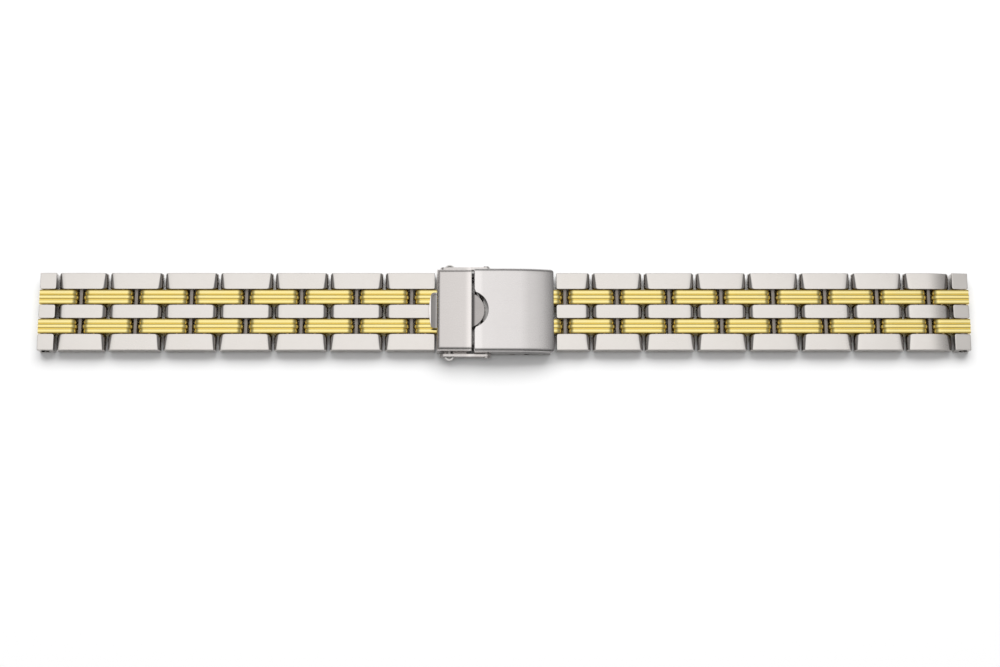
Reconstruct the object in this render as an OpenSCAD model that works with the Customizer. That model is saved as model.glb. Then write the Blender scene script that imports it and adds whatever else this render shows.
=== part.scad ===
// Two-tone watch bracelet of five rows, with a fold-over clasp and a flip lock.
// X runs along the bracelet, Y across it, and Z up from the table that it lies on.
// The wrist side is down, and the origin is under the middle of the length.

/* [Rows] */
// Width of each outer steel row
outer_row_w = 2.95; // [2.6:0.05:3.4]
// Width of the centre steel row
centre_row_w = 2.5; // [2.2:0.05:2.9]
// Width of a gold bar
gold_w = 2.7; // [2.4:0.05:3.0]
// Gap on each side of a gold bar
row_gap = 0.05; // [0.04:0.01:0.1]

/* [Links] */
// Thickness of the links
link_t = 2.4; // [2.3:0.05:2.5]
// Length from one steel link to the next, left of the clasp
left_pitch = 9.8; // [9.2:0.1:10.6]
// Length from one steel link to the next, right of the clasp
right_pitch = 9.3; // [9.2:0.1:10.6]
// Number of steel links left of the clasp
left_links = 7; // [4:1:7]
// Number of steel links right of the clasp
right_links = 8; // [4:1:8]
// Gap between the ends of two steel links
steel_gap = 0.38; // [0.3:0.02:0.5]
// Gap between the ends of two gold bars
gold_gap = 1.04; // [1.0:0.02:1.2]
// Extra length of a gold bar's middle rib at each end
rib_lead = 0.15; // [0.1:0.01:0.18]
// Extra height of a gold bar's middle rib
rib_rise = 0.05; // [0.02:0.01:0.08]
// Radius across the crown of each gold rib
rib_crown_r = 0.6; // [0.55:0.05:1.0]
// Thickness of the web that joins the bars of a steel link
web_t = 0.4; // [0.3:0.02:0.4]
// Height of the web's upper edge above the underside
web_top = 1.7; // [1.4:0.1:2.0]
// Height of the web's lower edge above the underside
web_bottom = 0.3; // [0.2:0.05:0.5]
// Rounding of a steel bar's corners beside the gold, seen from above
corner_r = 0.4; // [0.3:0.05:0.6]
// Bevel along the edges of a steel bar
bevel = 0.12; // [0.06:0.01:0.2]
// Diameter of the link pins
pin_d = 0.9; // [0.8:0.05:1.0]
// Running clearance round a pin, on the radius
pin_fit = 0.05; // [0.03:0.01:0.08]
// Depth of a pin's end below the side of its link
pin_inset = 0.2; // [0.1:0.05:0.4]

/* [Ends] */
// Length of the half blocks at the two ends
end_block_l = 2.9; // [2.6:0.1:3.4]
// Length taken off the link beside an end piece
end_cut = 0.75; // [0.5:0.05:0.9]
// Diameter of the spring bar bore at the two ends
lug_bore_d = 1.6; // [1.5:0.05:1.7]
// Outside diameter of the tube through an end piece
lug_tube_d = 1.9; // [1.85:0.05:1.95]

/* [Cover] */
// Length of the clasp cover
cover_l = 13.9; // [13:0.1:15]
// Width of the clasp cover past the links, on each side
cover_over = 0.55; // [0.5:0.05:0.6]
// Height of the cover at the seam
cover_h = 4.1; // [4.0:0.05:4.2]
// Radius of the cover's crown along the bracelet
crown_r = 90; // [85:1:120]
// Thickness of the cover sheet
sheet_t = 0.5; // [0.45:0.01:0.52]
// Outside radius of the sheet's bends
bend_r = 0.7; // [0.6:0.05:0.9]
// Height of the cover's rim above the table
rim_z = 0.3; // [0.2:0.05:0.5]
// Rounding of the cover's free corners, seen from above
cover_corner_r = 0.6; // [0.4:0.05:0.9]
// Depth of the half-moon recess in the cover
moon_depth = 2.28; // [2.0:0.02:2.5]
// Half of the recess's width at the seam
moon_half_w = 3.17; // [2.9:0.01:3.4]
// Gap between the cover and the first block on its right
cover_clear = 0.5; // [0.45:0.05:0.7]
// Length of the first right block from its left end to its web
stub_l = 1.55; // [1.5:0.05:1.7]

/* [Adjustment] */
// Number of adjustment holes in each side of the cover
adjust_holes = 3; // [1:1:3]
// Distance from one adjustment hole to the next
adjust_step = 2.5; // [2.3:0.1:2.6]
// Distance from the cover's right end to the hole in use
adjust_in = 2.33; // [2.2:0.01:2.5]
// Diameter of the adjustment holes
adjust_hole_d = 0.85; // [0.8:0.05:0.95]
// Diameter of the spring bar's body
spring_bar_d = 1.1; // [1.0:0.05:1.2]

/* [Flip lock] */
// Width of the seam between the cover and the flip lock
seam_w = 0.7; // [0.65:0.01:0.8]
// Length of the flip lock's plate
lock_l = 6.15; // [6.0:0.05:6.6]
// Thickness of the flip lock's flanges
flange_t = 0.45; // [0.4:0.01:0.46]
// Amount that the flip lock's plate is narrower than the cover, on each side
lock_in = 0.2; // [0.15:0.01:0.2]
// Distance from the cover's left edge to the flip lock's hinge
flip_in = 1.9; // [1.85:0.05:2.1]
// Height of the flip lock's hinge
flip_z = 1.45; // [1.4:0.05:1.5]
// Diameter of the flip lock's hinge pins
flip_pin_d = 0.8; // [0.7:0.05:0.85]
// Gap between the cover's side and a hem
hem_gap = 0.12; // [0.1:0.01:0.15]
// Thickness of the hem
hem_t = 0.45; // [0.35:0.05:0.5]
// Height of the hem's lower edge
hem_z0 = 0.5; // [0.4:0.05:0.6]
// Height of the hem's upper edge
hem_z1 = 2.1; // [2.05:0.05:2.3]
// Distance from the flip lock's left edge to its hem
hem_in = 0.55; // [0.4:0.05:0.8]
// Distance from the flip lock's left edge to the fold that joins hem and flange
fold_in = 1.35; // [1.2:0.05:1.6]
// Height of that fold
fold_h = 0.4; // [0.3:0.05:0.5]
// Length of the lift tab past the flip lock
tab_l = 1.35; // [1.1:0.05:1.6]
// Half of the lift tab's width
tab_half_w = 3.2; // [2.8:0.1:3.6]
// Bulge of the lift tab's free edge
tab_bulge = 0.4; // [0.3:0.05:0.6]
// Rounding of the lift tab's corners, seen from above
tab_corner_r = 0.6; // [0.5:0.05:0.8]
// Thickness of the lift tab
tab_t = 0.45; // [0.4:0.05:0.5]
// Width of the lip along the lift tab's edge
lip_w = 0.3; // [0.2:0.05:0.4]
// Height of the lip above the lift tab
lip_h = 0.2; // [0.1:0.05:0.3]
// Length of a hinge pin's head outside the hem
pin_head_l = 0.15; // [0.1:0.05:0.2]
// Extra radius of a hinge pin's head
pin_head_over = 0.15; // [0.1:0.05:0.2]

/* [Catch and blades] */
// Distance from the flip lock's left edge to the catch bar
catch_in = 2.22; // [2.2:0.02:2.4]
// Diameter of the catch bar
catch_d = 1.1; // [1.0:0.05:1.15]
// Diameter of the catch bar's heads
catch_head_d = 1.8; // [1.6:0.1:2.0]
// Length of a catch bar's head
catch_head_l = 0.55; // [0.4:0.05:0.6]
// Distance between the pivots of the gold bars that enter the clasp
last_gold_span = 4.3; // [4.2:0.05:4.6]
// Thickness of the collars that hold the catch bar
collar_t = 0.25; // [0.2:0.05:0.3]
// Thickness of the two folding blades
blade_t = 0.5; // [0.45:0.01:0.52]
// Width of the two folding blades
blade_w = 11; // [10.6:0.1:11.4]
// Radius of the blades' curve along the bracelet
blade_r = 70; // [60:1:120]
// Width of the fold hinge's middle knuckle
fold_knuckle_w = 4; // [3:0.1:5]
// Diameter of the hinge knuckles
knuckle_d = 1.5; // [1.4:0.02:1.54]
// Diameter of the two blade hinge pins
blade_pin_d = 0.8; // [0.7:0.05:0.85]
// Distance from the cover's left edge to the outer blade's hinge
hinge_in = 0.6; // [0.55:0.01:0.7]
// Height of the outer blade's hinge
hinge_z = 2.0; // [1.9:0.05:2.05]
// Distance from the outer blade's hinge to the fold hinge
blade_l = 8.45; // [8.2:0.05:8.5]
// Height of the fold hinge
fold_z = 1.15; // [1.1:0.05:1.2]

/* [Lock base] */
// Thickness of the lock base's sheet
base_t = 0.45; // [0.4:0.01:0.46]
// Height of the lock base's upper face
base_z = 3.4; // [3.35:0.01:3.45]
// Gap between the lock base and the cover's side walls
nest_gap = 0.25; // [0.23:0.01:0.28]
// Height of the lock base's lower edge
base_z0 = 0.4; // [0.3:0.05:0.5]
// Length of the lock base's cheeks under the cover
cheek_l = 3.2; // [3.0:0.1:4.0]
// Width of each cheek's upper edge
cheek_w = 0.8; // [0.75:0.05:1.2]
// Radius of the tongue that shows in the half-moon recess
tongue_r = 3.27; // [3.0:0.01:3.4]
// Reach of the tongue past the cover's left edge
tongue_l = 1.64; // [1.5:0.02:1.8]

/* [Hidden] */
$fn = 64;
eps = 0.02;
over = 1;
steel = [0.80, 0.79, 0.77];
bright_steel = [0.86, 0.86, 0.87];
gold = [0.93, 0.76, 0.31];

gold_y0 = centre_row_w / 2 + row_gap;
outer_y0 = gold_y0 + gold_w + row_gap;
half_w = outer_y0 + outer_row_w;
axis_z = link_t / 2;
pin_bore_d = pin_d + 2 * pin_fit;

cover_half = half_w + cover_over;
cover_in = cover_half - sheet_t;
spring_x = cover_l - adjust_in;
spring_drop = 0.1;
spring_z = axis_z - spring_drop;
spring_step = 0.1;
tip_fit = 0.025;
tongue_in = 0.4;

lock_x1 = -seam_w;
lock_x0 = lock_x1 - lock_l;
lock_half = cover_half - lock_in;
flange_in = lock_half - flange_t;
hem_y0 = cover_half + hem_gap;
hem_y1 = hem_y0 + hem_t;
swing_ease = 0.03;
swing_r = norm([flip_in + seam_w, cover_h - sheet_t - flip_z]) - swing_ease;
fold_clear = 0.25;
door_gap = 0.25;
door_z = link_t + door_gap;
link_clear = 0.38;
head_gap = 0.05;

catch_x = lock_x0 + catch_in;
notch_fit = 0.08;
notch_r = catch_d / 2 + notch_fit;
move_gap = 0.15;
base_x0 = lock_x0 + flange_t + move_gap;
base_x1 = -1.1;
base_half = cover_in - nest_gap;
fold_x = hinge_in + blade_l;
hinge_bore_d = blade_pin_d + 2 * pin_fit;
blade_y = blade_w / 2;
knuckle_r = knuckle_d / 2;
outer_rise = 0.08;
inner_rise = 0.15;
slot_gap = 0.1;

first_x = cover_l + cover_clear + stub_l;
left_arm = left_pitch / 4;
right_arm = right_pitch / 4;
last_left_x = catch_x - last_gold_span - left_arm;
left_x = [for (i = [1:left_links]) last_left_x - (left_links - i) * left_pitch];
right_x = [for (i = [1:right_links]) first_x + (i - 1) * right_pitch];
left_half = (left_pitch - steel_gap) / 2;
right_half = (right_pitch - steel_gap) / 2;
left_end_x = left_x[0] - left_half + end_cut - steel_gap - end_block_l;
right_end_x = right_x[right_links - 1] + right_half - end_cut + steel_gap + end_block_l;
origin_x = (left_end_x + right_end_x) / 2;

// A round bar of diameter d along Y, from y0 to y1
module rod(x, z, d, y0, y1) {
    translate([x, y1, z]) rotate([90, 0, 0]) cylinder(d = d, h = y1 - y0);
}

// Extrudes an outline drawn in X and Z along Y, from y0 to y1
module across(y0, y1) {
    translate([0, y1, 0]) rotate([90, 0, 0]) linear_extrude(y1 - y0) children();
}

// A rectangle whose corners have the radius r0 on its y0 side and r1 on its y1 side
module plan(x0, x1, y0, y1, r0, r1) {
    translate([x0, y0 + r0]) square([x1 - x0, y1 - y0 - r0 - r1]);
    translate([x0 + r0, y0]) square([x1 - x0 - 2 * r0, r0]);
    translate([x0 + r1, y1 - r1]) square([x1 - x0 - 2 * r1, r1]);
    for (x = [x0 + r0, x1 - r0]) translate([x, y0 + r0]) circle(r0);
    for (x = [x0 + r1, x1 - r1]) translate([x, y1 - r1]) circle(r1);
}

// The side outline of a bar: each end is rolled over or square
module bar_side(x0, x1, roll0, roll1) {
    r = link_t / 2;
    a = x0 + (roll0 ? r : 0);
    b = x1 - (roll1 ? r : 0);
    translate([a, 0]) square([b - a, link_t]);
    if (roll0) translate([a, r]) circle(r);
    if (roll1) translate([b, r]) circle(r);
}

// The cross-section of a bar from y0 to y1, with bevelled edges
module bar_section(y0, y1) {
    b = bevel;
    polygon([
        [y0 + b, 0], [y1 - b, 0], [y1, b], [y1, link_t - b],
        [y1 - b, link_t], [y0 + b, link_t], [y0, link_t - b], [y0, b]
    ]);
}

// A steel bar from x0 to x1, with corner radii r0 and r1 on its two long sides at a rolled end
module steel_bar(x0, x1, y0, y1, r0, r1, roll0, roll1) {
    a = x0 - (roll0 ? 0 : 2 * corner_r);
    b = x1 + (roll1 ? 0 : 2 * corner_r);
    intersection() {
        across(y0 - eps, y1 + eps) bar_side(x0, x1, roll0, roll1);
        linear_extrude(link_t) plan(a, b, y0, y1, r0, r1);
        translate([x0 - eps, 0, 0]) rotate([90, 0, 90]) linear_extrude(x1 - x0 + 2 * eps)
            bar_section(y0, y1);
    }
}

// The three steel bars of a link or an end piece
module steel_bars(x0, x1, roll0, roll1, centre_roll1) {
    steel_bar(x0, x1, -centre_row_w / 2, centre_row_w / 2, corner_r, corner_r, roll0, centre_roll1);
    steel_bar(x0, x1, outer_y0, half_w, corner_r, bevel, roll0, roll1);
    steel_bar(x0, x1, -half_w, -outer_y0, bevel, corner_r, roll0, roll1);
}

// A steel link round its centre x, with one web and a bore at each of the pivots
module steel_link(x, x0, x1, pivots, roll0 = true, roll1 = true) {
    color(steel) difference() {
        union() {
            steel_bars(x0, x1, roll0, roll1, true);
            translate([x - web_t / 2, -outer_y0 - eps, web_bottom])
                cube([web_t, 2 * (outer_y0 + eps), web_top - web_bottom]);
        }
        for (p = pivots) rod(p, axis_z, pin_d, -half_w - over, half_w + over);
    }
}

module link_pins(pivots) {
    color(bright_steel) for (p = pivots)
        rod(p, axis_z, pin_d, -half_w + pin_inset, half_w - pin_inset);
}

// Half of a rib's cross-section, from its axis out to its crown at radius r
module rib_section(w, r) {
    sag = rib_crown_r - sqrt(rib_crown_r * rib_crown_r - w * w / 4);
    translate([0, -w / 2]) square([r - sag, w]);
    intersection() {
        translate([r - rib_crown_r, 0]) circle(rib_crown_r);
        translate([r - sag - eps, -w / 2]) square([sag + 2 * eps, w]);
    }
}

// One rib from x0 to x1: it runs along the top and wraps down round each rolled end
module rib(x0, x1, y, w, r, roll0, roll1) {
    a = x0 + (roll0 ? r : 0);
    b = x1 - (roll1 ? r : 0);
    translate([0, y, axis_z]) {
        translate([b, 0, 0]) rotate([0, -90, 0]) linear_extrude(b - a) rib_section(w, r);
        if (roll1) translate([b, 0, 0]) rotate([90, 0, 0]) rotate_extrude(angle = 90)
            rib_section(w, r);
        if (roll0) translate([a, 0, 0]) mirror([1, 0, 0]) rotate([90, 0, 0])
            rotate_extrude(angle = 90) rib_section(w, r);
    }
}

// One gold bar: three crowned ribs over a plain underside
module gold_bar(x0, x1, y0, roll0 = true, roll1 = true) {
    w = gold_w / 3;
    for (k = [-1:1]) {
        lead = k == 0 ? rib_lead : 0;
        rise = k == 0 ? rib_rise : 0;
        rib(x0 - (roll0 ? lead : 0), x1 + (roll1 ? lead : 0), y0 + (k + 1.5) * w, w,
            axis_z + rise, roll0, roll1);
    }
    intersection() {
        across(y0, y0 + gold_w) bar_side(x0, x1, roll0, roll1);
        translate([x0, y0, 0]) cube([x1 - x0, gold_w, axis_z]);
    }
}

// The two gold bars of a row pair, bored at the pivots
module gold_pair(x0, x1, pivots, bore_d = pin_bore_d, roll0 = true, roll1 = true) {
    color(gold) difference() {
        for (y = [gold_y0, -gold_y0 - gold_w]) gold_bar(x0, x1, y, roll0, roll1);
        for (p = pivots) rod(p, axis_z, bore_d, -half_w, half_w);
    }
}

module left_link(i) {
    x = left_x[i - 1];
    x0 = x - left_half + (i == 1 ? end_cut : 0);
    last = i == left_links;
    x1 = last ? min(x + left_half, lock_x0 - link_clear) : x + left_half;
    steel_link(x, x0, x1, [x - left_arm, x + left_arm], roll1 = !last);
}

module left_pins(i) {
    x = left_x[i - 1];
    link_pins([x - left_arm, x + left_arm]);
}

module left_gold(i) {
    x = left_x[i - 1];
    p = x + left_arm;
    x0 = x + gold_gap / 2;
    if (i < left_links)
        gold_pair(x0, x + left_pitch - gold_gap / 2, [p, p + left_pitch / 2]);
    else
        color(gold) difference() {
            gold_pair(x0, catch_x + axis_z + eps, [p]);
            rod(catch_x, axis_z, catch_d + 2 * pin_fit, -half_w, half_w);
        }
}

module right_link(i) {
    x = right_x[i - 1];
    x1 = x + right_half - (i == right_links ? end_cut : 0);
    if (i == 1) steel_link(x, x - stub_l, x1, [x + right_arm], roll0 = false);
    else steel_link(x, x - right_half, x1, [x - right_arm, x + right_arm]);
}

module right_pins(i) {
    x = right_x[i - 1];
    link_pins(i == 1 ? [x + right_arm] : [x - right_arm, x + right_arm]);
}

module right_gold(i) {
    x = right_x[i - 1];
    p = x + right_arm;
    gold_pair(x + gold_gap / 2, x + right_pitch - gold_gap / 2, [p, p + right_pitch / 2]);
}

// An end piece drawn for the left end: blocks on a tube that takes the spring bar
module end_blocks(x0) {
    lug_x = x0 + axis_z;
    color(steel) difference() {
        union() {
            steel_bars(x0, x0 + end_block_l, false, false, false);
            rod(lug_x, axis_z, lug_tube_d, -outer_y0 - eps, outer_y0 + eps);
        }
        rod(lug_x, axis_z, lug_bore_d, -half_w - over, half_w + over);
    }
}

// The gold bars of an end piece, drawn for the left end: tight on the tube, loose on the pin
module end_gold(x0, link_x, pitch) {
    color(gold) difference() {
        gold_pair(x0, link_x - gold_gap / 2, [link_x - pitch / 4], roll0 = false);
        rod(x0 + axis_z, axis_z, lug_tube_d, -half_w, half_w);
    }
}

// The outline of a sheet channel: drawn with its top at x = top and open towards smaller x
module channel(top, half, t, bend, depth) {
    difference() {
        union() {
            translate([top - depth, -half]) square([depth - bend, 2 * half]);
            translate([top - bend, -half + bend]) square([bend, 2 * (half - bend)]);
            for (s = [-1, 1]) translate([top - bend, s * (half - bend)]) circle(bend);
        }
        translate([top - depth - over, -half + t]) square([depth + over - bend, 2 * (half - t)]);
        translate([top - bend - eps, -half + bend]) square([bend + eps - t, 2 * (half - bend)]);
        for (s = [-1, 1]) translate([top - bend, s * (half - bend)]) circle(bend - t);
    }
}

// The crowned cover: a channel bent along the bracelet, with its recess and adjustment holes
module clasp_cover() {
    sweep = 2 * asin(cover_l / crown_r);
    moon_r = (moon_half_w * moon_half_w + moon_depth * moon_depth) / (2 * moon_depth);
    color(bright_steel) difference() {
        intersection() {
            translate([0, 0, cover_h - crown_r]) rotate([90, 0, 0]) rotate([0, 0, 90 - sweep])
                rotate_extrude(angle = sweep + over, $fn = 360)
                    channel(crown_r, cover_half, sheet_t, bend_r, cover_h + over);
            translate([0, 0, rim_z]) linear_extrude(cover_h) {
                plan(cover_l / 2, cover_l, -cover_half, cover_half, cover_corner_r, cover_corner_r);
                translate([0, -cover_half]) square([cover_l - cover_corner_r, 2 * cover_half]);
            }
        }
        translate([moon_depth - moon_r, 0, cover_h - bend_r - sheet_t])
            cylinder(r = moon_r, h = bend_r + sheet_t + over);
        for (k = [0:adjust_holes - 1])
            rod(spring_x - k * adjust_step, spring_z, adjust_hole_d, -cover_half - over, cover_half + over);
        rod(flip_in, flip_z, flip_pin_d, -cover_half - over, cover_half + over);
    }
}

// The channel under the flip lock: its tongue shows in the recess and its cheeks hold the hinges
module lock_base() {
    color(bright_steel) difference() {
        intersection() {
            translate([base_x0, 0, 0]) rotate([0, -90, 180]) linear_extrude(cheek_l - base_x0)
                channel(base_z, base_half, base_t, bend_r, base_z - base_z0);
            linear_extrude(base_z + over) {
                translate([base_x0, -base_half]) square([base_x1 - base_x0, 2 * base_half]);
                translate([tongue_l - tongue_r, 0]) circle(tongue_r);
                for (y = [-base_half, base_half - cheek_w])
                    translate([base_x1 - eps, y]) square([cheek_l - base_x1, cheek_w]);
            }
        }
        rod(catch_x, axis_z, 2 * notch_r, -cover_half, cover_half);
        translate([catch_x - notch_r, -cover_half, -over])
            cube([2 * notch_r, 2 * cover_half, axis_z + over]);
        rod(hinge_in, hinge_z, blade_pin_d, -cover_half, cover_half);
        rod(flip_in, flip_z, flip_pin_d, -cover_half, cover_half);
    }
}

// The side outline of the flip lock's block, with its left edge rolled over
module lock_side(x0, x1, top, r) {
    translate([x0, 0]) square([x1 - x0, top - r]);
    translate([x0 + r, top - r - eps]) square([x1 - x0 - r, r + eps]);
    translate([x0 + r, top - r]) circle(r);
}

// The folded hem beside a flange, which reaches past the seam to the hinge
module hem(y0, y1) {
    r = (hem_z1 - hem_z0) / 2;
    x0 = lock_x0 + hem_in + r;
    across(y0, y1) difference() {
        union() {
            translate([x0, hem_z0]) square([flip_in - x0, 2 * r]);
            translate([x0, hem_z0 + r]) circle(r);
            translate([flip_in, hem_z0 + r]) circle(r);
        }
        translate([flip_in, flip_z]) circle(d = flip_pin_d + 2 * pin_fit);
    }
}

// The lift tab's outline from x0 to x1: a bulging free edge between two rounded corners
module tab_outline(x0, x1, half) {
    bulge_r = (half * half + tab_bulge * tab_bulge) / (2 * tab_bulge);
    y = half - tab_corner_r;
    x = x0 + bulge_r - sqrt(pow(bulge_r - tab_corner_r, 2) - y * y);
    arc_y = y * bulge_r / (bulge_r - tab_corner_r);
    intersection() {
        translate([x0 + bulge_r, 0]) circle(bulge_r, $fn = 360);
        translate([x0 - over, -arc_y]) square([x1 - x0 + over, 2 * arc_y]);
    }
    for (s = [-1, 1]) translate([x, s * y]) circle(tab_corner_r);
    translate([x, -half]) square([x1 - x, 2 * half]);
}

// The lift tab, with a lip along its free edge and its sides
module lift_tab() {
    x0 = lock_x0 - tab_l;
    translate([0, 0, door_z]) linear_extrude(tab_t)
        tab_outline(x0, lock_x0 + flange_t, tab_half_w);
    translate([0, 0, door_z + tab_t - eps]) linear_extrude(lip_h + eps) difference() {
        tab_outline(x0, lock_x0 + eps, tab_half_w);
        tab_outline(x0 + lip_w, lock_x0 + over, tab_half_w - lip_w);
    }
}

// The flip lock: a plate with two flanges, folded out into hems, and the lift tab
module flip_lock() {
    fold_x0 = lock_x0 + fold_in;
    fold_x1 = flip_in - swing_r - fold_clear;
    color(bright_steel) difference() {
        union() {
            difference() {
                intersection() {
                    translate([lock_x0, 0, 0]) rotate([0, -90, 180]) linear_extrude(lock_l)
                        translate([hem_z0, 0]) lock_section(cover_h - hem_z0, lock_half, bend_r);
                    across(-cover_half, cover_half) lock_side(lock_x0, lock_x1, cover_h, bend_r);
                }
                intersection() {
                    translate([lock_x0 + flange_t, 0, 0]) rotate([0, -90, 180]) linear_extrude(lock_l)
                        lock_section(cover_h - sheet_t, flange_in, bend_r - sheet_t);
                    across(-flange_in, flange_in)
                        lock_side(lock_x0 + flange_t, lock_x1 + over, cover_h - sheet_t, bend_r - sheet_t);
                }
                translate([lock_x0 - over, -flange_in, -over])
                    cube([2 * over, 2 * flange_in, door_z + over]);
                rod(flip_in, flip_z, 2 * swing_r, -cover_half - over, cover_half + over);
            }
            for (s = [-1, 1]) {
                hem(min(s * hem_y0, s * hem_y1), max(s * hem_y0, s * hem_y1));
                translate([fold_x0, s > 0 ? flange_in : -hem_y1, hem_z0])
                    cube([fold_x1 - fold_x0, hem_y1 - flange_in, fold_h]);
            }
            lift_tab();
        }
        rod(catch_x, axis_z, 2 * notch_r, -hem_y1 - over, hem_y1 + over);
        translate([catch_x - notch_r, -hem_y1 - over, -over])
            cube([2 * notch_r, 2 * (hem_y1 + over), axis_z + over]);
    }
}

// A rectangle from 0 to top with its two far corners rounded
module lock_section(top, half, r) {
    translate([0, -half]) square([top - r, 2 * half]);
    translate([top - r - eps, -half + r]) square([r + eps, 2 * (half - r)]);
    for (s = [-1, 1]) translate([top - r, s * (half - r)]) circle(r);
}

// The flip lock's hinge pins, each with a thin head outside the hem
module flip_hinge_pins() {
    y = hem_y1 + head_gap;
    color(steel) for (s = [0, 1]) mirror([0, s, 0]) {
        rod(flip_in, flip_z, flip_pin_d, base_half - base_t, y);
        rod(flip_in, flip_z, flip_pin_d + 2 * pin_head_over, y, y + pin_head_l);
    }
}

// The catch bar, with a domed head outside each hem
module catch_bar() {
    dome_r = (pow(catch_head_d / 2, 2) + pow(catch_head_l, 2)) / (2 * catch_head_l);
    y = hem_y1 + 2 * head_gap;
    color(bright_steel) {
        rod(catch_x, axis_z, catch_d, -y, y);
        for (s = [0, 1]) mirror([0, s, 0]) intersection() {
            translate([catch_x, y + catch_head_l - dome_r, axis_z]) sphere(dome_r);
            translate([catch_x - catch_head_d, y, 0])
                cube([2 * catch_head_d, catch_head_l + over, 2 * catch_head_d]);
        }
    }
}

// The side outline of a blade from x0 to x1, curved like the cover, with its top at height z at x
module blade_side(x0, x1, x, z) {
    intersection() {
        difference() {
            translate([x, z - blade_r]) circle(blade_r, $fn = 720);
            translate([x, z - blade_r]) circle(blade_r - blade_t, $fn = 720);
        }
        translate([x0, 0]) square([x1 - x0, cover_h]);
    }
}

// The outer blade hangs from the cover's hinge and carries the fold hinge at its other end
module outer_blade() {
    slot = fold_knuckle_w / 2 + slot_gap;
    color(steel) difference() {
        union() {
            across(-blade_y, blade_y)
                blade_side(hinge_in, fold_x, (hinge_in + fold_x) / 2, fold_z + knuckle_r + outer_rise);
            rod(hinge_in, hinge_z, knuckle_d, -blade_y, blade_y);
            rod(fold_x, fold_z, knuckle_d, -blade_y, blade_y);
        }
        translate([fold_x - knuckle_r - move_gap, -slot, 0])
            cube([knuckle_d + over, 2 * slot, cover_h]);
        rod(hinge_in, hinge_z, hinge_bore_d, -blade_y - over, blade_y + over);
        rod(fold_x, fold_z, hinge_bore_d, -blade_y - over, blade_y + over);
    }
}

// The inner blade runs back from the fold hinge, and its three fingers hold the catch bar
module inner_blade() {
    slot = fold_knuckle_w / 2;
    top = fold_z - knuckle_r + blade_t + inner_rise;
    color(steel) difference() {
        union() {
            across(-blade_y, blade_y) blade_side(catch_x, fold_x, (catch_x + fold_x) / 2, top);
            rod(catch_x, axis_z, catch_d + 2 * collar_t, -blade_y, blade_y);
            rod(fold_x, fold_z, knuckle_d, -slot, slot);
        }
        for (y = [-blade_y - over, slot]) translate([fold_x - knuckle_r - move_gap, y, 0])
            cube([knuckle_d + over, blade_y + over - slot, cover_h]);
        for (y = [gold_y0, -gold_y0 - gold_w]) translate([catch_x - 2 * over, y - move_gap, -over])
            cube([2 * over + axis_z + move_gap, gold_w + 2 * move_gap, cover_h]);
        rod(catch_x, axis_z, catch_d, -blade_y - over, blade_y + over);
        rod(fold_x, fold_z, blade_pin_d, -blade_y - over, blade_y + over);
    }
}

module cover_hinge_pin() {
    color(bright_steel) rod(hinge_in, hinge_z, blade_pin_d, -base_half, base_half);
}

module fold_hinge_pin() {
    color(bright_steel) rod(fold_x, fold_z, blade_pin_d, -blade_y, blade_y);
}

// The spring bar: a body with a narrower tip in each side of the cover
module spring_bar() {
    body = cover_in - spring_step;
    color(bright_steel) {
        rod(spring_x, spring_z, spring_bar_d, -body, body);
        rod(spring_x, spring_z, adjust_hole_d - 2 * tip_fit, -cover_half, cover_half);
    }
}

// The gold bars fixed in the first right link, which reach into the cover to the spring bar
module clasp_gold() {
    step_x = cover_l - tongue_in;
    color(gold) difference() {
        union() {
            intersection() {
                for (y = [gold_y0, -gold_y0 - gold_w])
                    gold_bar(step_x - over, first_x - gold_gap / 2, y, false);
                translate([step_x, -half_w, 0])
                    cube([stub_l + 2 * over, 2 * half_w, link_t + over]);
            }
            for (y = [gold_y0, -gold_y0 - gold_w]) {
                rod(spring_x, spring_z, 2 * spring_z, y, y + gold_w);
                translate([spring_x, y, 0]) cube([step_x - spring_x, gold_w, 2 * spring_z]);
                translate([spring_x, y, 0]) cube([first_x - web_t / 2 - spring_x, gold_w, axis_z]);
            }
        }
        rod(spring_x, spring_z, spring_bar_d + 2 * pin_fit, -half_w, half_w);
    }
}

translate([-origin_x, 0, 0]) {
    end_blocks(left_end_x);  // left_end_blocks
    end_gold(left_end_x, left_x[0], left_pitch);  // left_end_gold
    for (i = [1:left_links]) {
        left_link(i);
        left_pins(i);
        left_gold(i);
    }
    clasp_cover();
    lock_base();
    flip_lock();
    flip_hinge_pins();
    catch_bar();
    inner_blade();
    fold_hinge_pin();
    outer_blade();
    cover_hinge_pin();
    spring_bar();
    clasp_gold();
    for (i = [1:right_links]) {
        right_link(i);
        right_pins(i);
    }
    for (i = [1:right_links - 1])
        right_gold(i);
    mirror([1, 0, 0]) end_blocks(-right_end_x);  // right_end_blocks
    mirror([1, 0, 0]) end_gold(-right_end_x, -right_x[right_links - 1], right_pitch);  // right_end_gold
}
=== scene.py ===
import math

import bmesh
import bpy
from mathutils import Matrix, Vector
from mathutils.geometry import tessellate_polygon


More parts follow.
